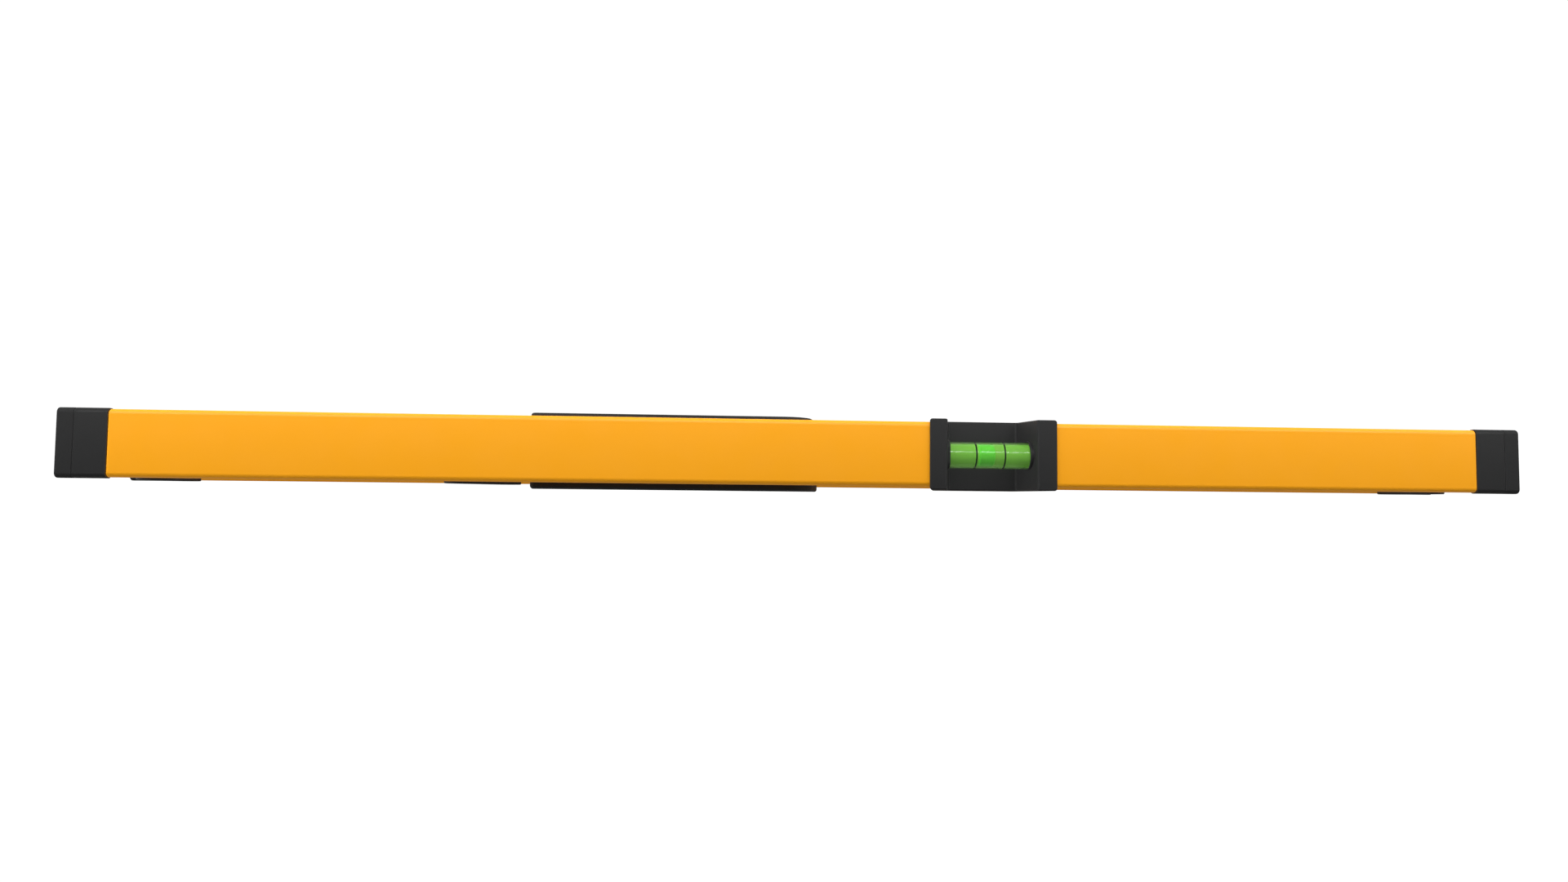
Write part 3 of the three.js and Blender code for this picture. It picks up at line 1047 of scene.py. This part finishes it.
@dataclass
class Saddle:
    """Black saddle that fills the beam's notch and carries the top vial under an open trough."""

    beam: Beam
    vial: "Vial"
    trough: tuple[float, float] = (7.4 * MM, 8.4 * MM)
    slopes: tuple[float, float] = (4.0 * MM, 4.1 * MM)
    floor: float = 44 * MM
    upright_radius: float = 1.1 * MM
    trough_radius: float = 0.9 * MM
    rim_radius: float = 0.6 * MM
    bore_gap: float = 0.12 * MM
    collar_wall: float = 0.6 * MM
    collar_reach: tuple[float, float] = (-17.3 * MM, 16.6 * MM)
    collar_root: float = 4 * MM
    block_radius: float = 3.4 * MM
    disc_edge: float = 0.3 * MM

    @property
    def span(self) -> Span:
        """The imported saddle's box."""
        return self.beam.notch.saddle

    def profile(self) -> list[tuple[float, float]]:
        """The saddle's eight corners seen from the front, in X and Z."""
        span = self.span
        low_left, low_right, high_right, high_left = self.beam.notch.outline(span.low.z, span.high.z)
        left, right = high_left[0] + self.trough[0], high_right[0] - self.trough[1]
        return [
            low_left,
            low_right,
            high_right,
            (right, span.high.z),
            (right - self.slopes[1], self.floor),
            (left + self.slopes[0], self.floor),
            (left, span.high.z),
            high_left,
        ]

    def build(self) -> None:
        """Makes the saddle and the disc that stops its bore."""
        span = self.span
        saddle = Blank.prism(Axis.Y, self.profile(), span.low.y, span.high.y)
        saddle.rounded(self.is_upright, self.upright_radius, Facets.EDGE)
        saddle.rounded(self.crosses_trough, self.trough_radius, Facets.EDGE)
        saddle.rounded(self.is_above_base, self.rim_radius, Facets.RIM)
        for collar in self.collars():
            saddle.combined(collar, Join.WELD)
        gap = self.beam.clearance
        size = self.beam.span.size
        section = Section(size.y + 2 * gap, size.z + 2 * gap)
        seat = section.bar(span.low.x - THROUGH, span.high.x + THROUGH)
        seat.placed(Matrix.Translation((0, 0, -gap)))
        saddle.cut(seat.cut(self.beam.notch.body(gap)))
        saddle.cut(self.bore())
        saddle.piece("vial_saddle", MOULDED_PLASTIC, "top_vial_housing")
        self.stop_disc()

    def is_upright(self, edge: BMEdge) -> bool:
        """Tells whether an edge is one of the four leaning corners, which run from the top to the base."""
        return abs(edge.verts[0].co.z - edge.verts[1].co.z) > self.span.size.z - NEAR

    def crosses_trough(self, edge: BMEdge) -> bool:
        """Tells whether an edge is one of the trough's, which run across the level."""
        span, point, margin = self.span, edge.verts[0].co, 2 * self.upright_radius
        inside = span.low.x + margin < point.x < span.high.x - margin and point.z > span.low.z + margin
        return runs_along(edge, Axis.Y) and is_sharp(edge) and inside

    def is_above_base(self, edge: BMEdge) -> bool:
        """Tells whether an edge is a sharp one that doesn't lie in the saddle's lowest plane."""
        return is_sharp(edge) and any(vert.co.z >= self.span.low.z + NEAR for vert in edge.verts)

    def collars(self) -> list[Blank]:
        """The block and the round collar that hold the vial where it leaves the trough's walls."""
        radius = self.vial.radius + self.bore_gap + self.collar_wall
        left, right = self.collar_reach
        corner = Vector((left, radius, radius))
        block = Blank.bar(Vector((left - self.collar_root, -radius, -radius)), corner)
        block.rounded(along(Axis.X), self.block_radius, Facets.CORNER)
        made = [block, Blank.rod(right, right + self.collar_root, radius)]
        for collar in made:
            collar.rounded(is_sharp, self.collar_wall / 2, Facets.FINE)
            collar.placed(Matrix.Translation(self.vial.centre))
        return made

    def bore(self) -> Blank:
        """The vial's bore, open at its right end."""
        radius = self.vial.radius + self.bore_gap
        start = -self.vial.length / 2 - self.bore_gap
        end = self.span.high.x - self.vial.centre.x
        return Blank.rod(start, end, radius).placed(Matrix.Translation(self.vial.centre))

    def stop_disc(self) -> None:
        """Makes the disc behind the top vial's right end."""
        span = Span.of("top_vial_retainer")
        half = span.size.x / 2
        disc = Blank.rod(-half, half, span.size.z / 2)
        disc.rounded(is_sharp, self.disc_edge, Facets.FINE)
        disc.placed(Matrix.Translation(span.centre))
        disc.piece("saddle_stop_disc", MOULDED_PLASTIC, "top_vial_retainer")


# ------------------------------------------------------------------------------------------- the vials


@dataclass
class Vial:
    """A clear barrel of liquid with its plug, its bubble and two reading lines, long in its own X."""

    name: str
    turn: float
    radius: float
    bore: float
    length: float
    end_wall: float
    plug_length: float
    line_spacing: float
    fill_gap: float = 0.25 * MM
    bubble_swell: float = 0.12 * MM
    bubble_lift: float = 0.0
    bubble_round: float = 0.5
    line_width: float = 0.6 * MM
    line_depth: float = 0.2 * MM
    fit: float = 0.05 * MM
    tube_edge: float = 0.35 * MM
    plug_edge: float = 0.3 * MM
    liquid_edge: float = 0.15 * MM

    @property
    def centre(self) -> Vector:
        """The middle of the barrel."""
        return Span.of(f"{self.name}_barrel").centre

    @property
    def matrix(self) -> Matrix:
        """The vial's place in the level."""
        return Matrix.Translation(self.centre) @ Matrix.Rotation(self.turn, 4, "Y")

    @property
    def line_places(self) -> tuple[float, float]:
        """Where the two reading lines lie along the vial."""
        return -self.line_spacing / 2, self.line_spacing / 2

    def build(self) -> None:
        """Makes every piece of the vial."""
        self.tube()
        self.stopper()
        self.liquid()
        self.bubble()
        self.lines()

    def tube(self) -> None:
        """Makes the barrel, closed at one end, with a shallow groove for each line."""
        half = self.length / 2
        groove = self.line_width / 2 + self.fit
        low = self.radius - self.line_depth - self.fit
        outside: list[tuple[float, float]] = []
        for at in self.line_places:
            start, end = at - groove, at + groove
            outside += [(start, self.radius), (start, low), (end, low), (end, self.radius)]
        profile = [
            (-half, 0),
            (-half, self.radius),
            *outside,
            (half, self.radius),
            (half, self.bore),
            (-half + self.end_wall, self.bore),
            (-half + self.end_wall, 0),
        ]
        tube = Blank.turned(profile)
        at_end = half - self.fit

        def is_end_corner(edge: BMEdge) -> bool:
            """Tells whether an edge is a corner at either end of the tube."""
            return is_sharp(edge) and all(abs(vert.co.x) > at_end for vert in edge.verts)

        tube.rounded(is_end_corner, self.tube_edge, Facets.FINE)
        tube.placed(self.matrix).piece(f"{self.name}_tube", CLEAR_ACRYLIC, f"{self.name}_barrel")

    def stopper(self) -> None:
        """Makes the plug that closes the barrel."""
        half, radius = self.length / 2, self.bore - self.fit
        start = half - self.plug_length
        plug = Blank.rod(start, half, radius)
        plug.rounded(is_sharp, self.plug_edge, Facets.FINE)
        plug.placed(self.matrix).piece(f"{self.name}_stopper", CLEAR_ACRYLIC, f"{self.name}_plug")

    def liquid(self) -> None:
        """Makes the liquid, which fills the bore up to the plug."""
        radius = self.bore - self.fill_gap
        start = -self.length / 2 + self.end_wall + self.fit
        end = self.length / 2 - self.plug_length - self.fit
        fill = Blank.rod(start, end, radius)
        fill.rounded(is_sharp, self.liquid_edge, Facets.FINE)
        fill.placed(self.matrix).piece(f"{self.name}_fluid", GREEN_LIQUID, f"{self.name}_liquid")

    def bubble(self) -> None:
        """Makes the air bubble, a round-ended barrel that stands a little out of the liquid."""
        node = f"{self.name}_bubble"
        span = Span.of(node)
        half = self.bubble_length(span) / 2
        radius = self.bore - self.fill_gap + self.bubble_swell
        bubble = Blank.rod(-half, half, radius)
        bubble.rounded(is_sharp, min(half, radius) * self.bubble_round, Facets.BEND)
        height = self.centre.z + self.bubble_lift if self.bubble_lift else span.centre.z
        middle = Matrix.Translation((span.centre.x, self.centre.y, height))
        bubble.placed(middle @ Matrix.Rotation(self.turn, 4, "Y"))
        bubble.piece(f"{self.name}_air", TRAPPED_AIR, node, body=node)

    def bubble_length(self, span: Span) -> float:
        """Length of the bubble along the vial, from its box.

        Args:
            span: The bubble's box.

        Returns:
            The length.
        """
        if self.is_square():
            return max(span.size.x, span.size.z)
        return math.sqrt(2 * span.size.x**2 - span.size.y**2)

    def is_square(self) -> bool:
        """Tells whether the vial lies along or across the level."""
        return abs(math.sin(2 * self.turn)) < NEAR

    def lines(self) -> None:
        """Makes the two reading lines, thin rings that lie in the barrel's grooves."""
        inner, half = self.radius - self.line_depth, self.line_width / 2
        for number, (at, node) in enumerate(zip(self.line_places, ("first_ring", "second_ring")), start=1):
            start, end = at - half, at + half
            profile = [(start, inner), (start, self.radius), (end, self.radius), (end, inner)]
            ring = Blank.turned(profile)
            ring.placed(self.matrix).piece(f"{self.name}_line_{number}", LINE_INK, f"{self.name}_{node}")


@dataclass
class VialHolder:
    """Two black bezels that clamp a small vial in the beam's side walls."""

    vial: Vial
    beam: Beam
    length: float = 35 * MM
    width: float = 15 * MM
    collar_length: float = 31.4 * MM
    collar_width: float = 11.4 * MM
    rebate_length: float = 28.4 * MM
    rebate_width: float = 11 * MM
    rebate_depth: float = 1 * MM
    window_length: float = 24 * MM
    window_width: float = 7.6 * MM
    split: float = 0.05 * MM
    rim_radius: float = 0.45 * MM

    def hole(self, clearance: float) -> Blank:
        """The slot through both side walls that the collars fill."""
        length, width = self.collar_length + 2 * clearance, self.collar_width + 2 * clearance
        return Blank.slot(length, width, -THROUGH, THROUGH).placed(self.vial.matrix)

    def build(self) -> None:
        """Makes the bezel of each side."""
        for side in Side:
            self.bezel(side)

    def bezel(self, side: Side) -> None:
        """Makes one bezel with its collar and window.

        Args:
            side: The side that it is on.
        """
        node = f"{self.vial.name}_{side.label}_holder"
        span = Span.of(node)
        face = span.side_face
        wall = self.beam.section().wall_face + self.split
        rebate = face - self.rebate_depth
        bezel = Blank.slot_ring(
            [
                (self.collar_length, self.collar_width, self.split),
                (self.collar_length, self.collar_width, wall),
                (self.length, self.width, wall),
                (self.length, self.width, face),
                (self.rebate_length, self.rebate_width, face),
                (self.rebate_length, self.rebate_width, rebate),
                (self.window_length, self.window_width, rebate),
                (self.window_length, self.window_width, self.split),
            ]
        )
        bezel.rounded(sharp_beyond(Axis.Y, wall + self.split), self.rim_radius, Facets.RIM)
        if side is Side.FRONT:
            bezel.mirrored(Axis.Y)
        half = self.vial.length / 2 + self.split
        bezel.cut(Blank.rod(-half, half, self.vial.radius + self.split))
        bezel.placed(self.vial.matrix)
        bezel.piece(f"{self.vial.name}_{side.label}_bezel", MOULDED_PLASTIC, node)


# ------------------------------------------------------------------------------------------ the studio


@dataclass(frozen=True)
class Lamp:
    """A soft rectangular light that faces the level's top."""

    name: str
    place: tuple[float, float, float]
    size: tuple[float, float]
    power: float
    sheen: bool = True
    body_light: bool = True
    shadow: bool = True

    def hang(self) -> None:
        """Hangs the lamp, out of the camera's sight."""
        data = bpy.data.lights.new(self.name, "AREA")
        data.shape = "RECTANGLE"
        data.size, data.size_y = self.size
        data.energy = self.power
        light = bpy.data.objects.new(self.name, data)
        light.location = self.place
        target = Vector((0, 0, Span.of("beam").high.z))
        light.rotation_euler = (target - Vector(self.place)).to_track_quat("-Z", "Y").to_euler()
        light.visible_camera = False
        light.visible_glossy = self.sheen
        light.visible_diffuse = self.body_light
        data.use_shadow = self.shadow
        bpy.context.scene.collection.objects.link(light)


@dataclass
class Studio:
    """Pale floor, soft light from above the back of the level, and the camera over it."""

    floor_size: float = 12.0
    floor_facets: int = 96
    sensor: float = 36.0
    lens: float = 24.444
    camera_place: tuple[float, float, float] = (-0.048583, -0.020321, 0.491783)
    camera_tilt: tuple[float, float, float] = (3.2776, -4.2383, 0.5768)
    lamps: tuple[Lamp, ...] = (
        Lamp("back_sky", (0.0, 0.125, 0.148), (1.4, 0.12), 1.72, sheen=False),
        Lamp("back_strip", (0.0, 0.09, 0.21), (1.4, 0.014), 0.6, body_light=False),
        Lamp("front_fill", (0.0, -1.1, 0.22), (1.4, 0.5), 2.6, sheen=False),
        Lamp("left_fill", (-1.2, 0.0, 0.14), (0.6, 0.5), 12.0, sheen=False, shadow=False),
        Lamp("right_fill", (1.2, 0.0, 0.14), (0.6, 0.5), 5.0, sheen=False, shadow=False),
    )
    backdrop_seen: float = 1.05
    backdrop_light: float = 0.13
    floor_colour: tuple[float, float, float] = (0.6, 0.6, 0.59)

    def build(self) -> None:
        """Makes the camera, lights, floor and backdrop."""
        self.set_camera()
        for lamp in self.lamps:
            lamp.hang()
        self.add_floor()
        self.set_backdrop()
        view = bpy.context.scene.view_settings
        view.view_transform = "Standard"
        view.look = "None"

    def set_camera(self) -> None:
        """Places the camera over the level, a little left of its middle."""
        data = bpy.data.cameras.new("camera")
        data.lens = self.lens
        data.sensor_width = self.sensor
        camera = bpy.data.objects.new("camera", data)
        camera.location = self.camera_place
        camera.rotation_mode = "ZXY"
        camera.rotation_euler = [math.radians(angle) for angle in self.camera_tilt]
        bpy.context.scene.collection.objects.link(camera)
        bpy.context.scene.camera = camera

    def add_floor(self) -> None:
        """Adds the floor that the level lies on."""
        mesh = bmesh.new()
        bmesh.ops.create_circle(mesh, cap_ends=True, segments=self.floor_facets, radius=self.floor_size / 2)
        data = bpy.data.meshes.new("floor")
        mesh.to_mesh(data)
        mesh.free()
        floor = bpy.data.objects.new("floor", data)
        bpy.context.scene.collection.objects.link(floor)
        nodes = NodeTree("pale floor")
        nodes.surface.inputs["Base Color"].default_value = (*self.floor_colour, 1)
        nodes.surface.inputs["Roughness"].default_value = 0.9
        nodes.surface.inputs["Specular IOR Level"].default_value = 0.1
        seen = nodes.add("ShaderNodeEmission", Strength=self.backdrop_seen)
        path = nodes.add("ShaderNodeLightPath")
        mix = nodes.add("ShaderNodeMixShader", Fac=path.outputs["Is Camera Ray"])
        nodes.feed(mix.inputs[1], nodes.surface.outputs["BSDF"])
        nodes.feed(mix.inputs[2], seen.outputs["Emission"])
        nodes.feed(nodes.output.inputs["Surface"], mix.outputs["Shader"])
        data.materials.append(nodes.material)

    def set_backdrop(self) -> None:
        """Surrounds the scene with an even pale backdrop that lights it softly."""
        world = bpy.data.worlds.new("backdrop")
        world.use_nodes = True
        tree = world.node_tree
        background = tree.nodes["Background"]
        path = tree.nodes.new("ShaderNodeLightPath")
        level = tree.nodes.new("ShaderNodeMapRange")
        level.inputs["To Min"].default_value = self.backdrop_light
        level.inputs["To Max"].default_value = self.backdrop_seen
        tree.links.new(path.outputs["Is Camera Ray"], level.inputs["Value"])
        tree.links.new(level.outputs["Result"], background.inputs["Strength"])
        background.inputs["Color"].default_value = (1, 1, 1, 1)
        bpy.context.scene.world = world


# -------------------------------------------------------------------------------------------- the level


def small_vial(name: str, turn: float) -> Vial:
    """A plumb or 45 degree vial.

    Args:
        name: Start of its nodes' names.
        turn: Turn about Y that brings it from lying along X to its place, in degrees.

    Returns:
        The vial.
    """
    return Vial(
        name=name,
        turn=math.radians(turn),
        radius=4.5 * MM,
        bore=4.1 * MM,
        length=28 * MM,
        end_wall=2.2 * MM,
        plug_length=3.2 * MM,
        line_spacing=8.4 * MM,
    )


def main() -> None:
    """Builds the studio and every sub-assembly of the level."""
    logging.basicConfig(level=logging.INFO, format="%(name)s: %(message)s")
    Studio().build()
    beam = Beam()
    top_vial = Vial(
        name="top_vial",
        turn=0.0,
        radius=5.6 * MM,
        bore=5.2 * MM,
        length=40 * MM,
        end_wall=2.5 * MM,
        plug_length=3 * MM,
        line_spacing=12.1 * MM,
        fill_gap=0.45 * MM,
        bubble_swell=0.0,
        bubble_lift=0.37 * MM,
        bubble_round=0.28,
    )
    small_vials = [
        small_vial("left_plumb_vial", -90),
        small_vial("right_plumb_vial", -90),
        small_vial("angle_vial", -135),
    ]
    holders = [VialHolder(vial, beam) for vial in small_vials]
    beam.build(holders)
    for end in End:
        EndPieces(end, beam).build()
    for side in Side:
        Grip(side).build(beam)
    Saddle(beam, top_vial).build()
    for vial in (top_vial, *small_vials):
        vial.build()
    for holder in holders:
        holder.build()


if __name__ == "__main__":
    main()
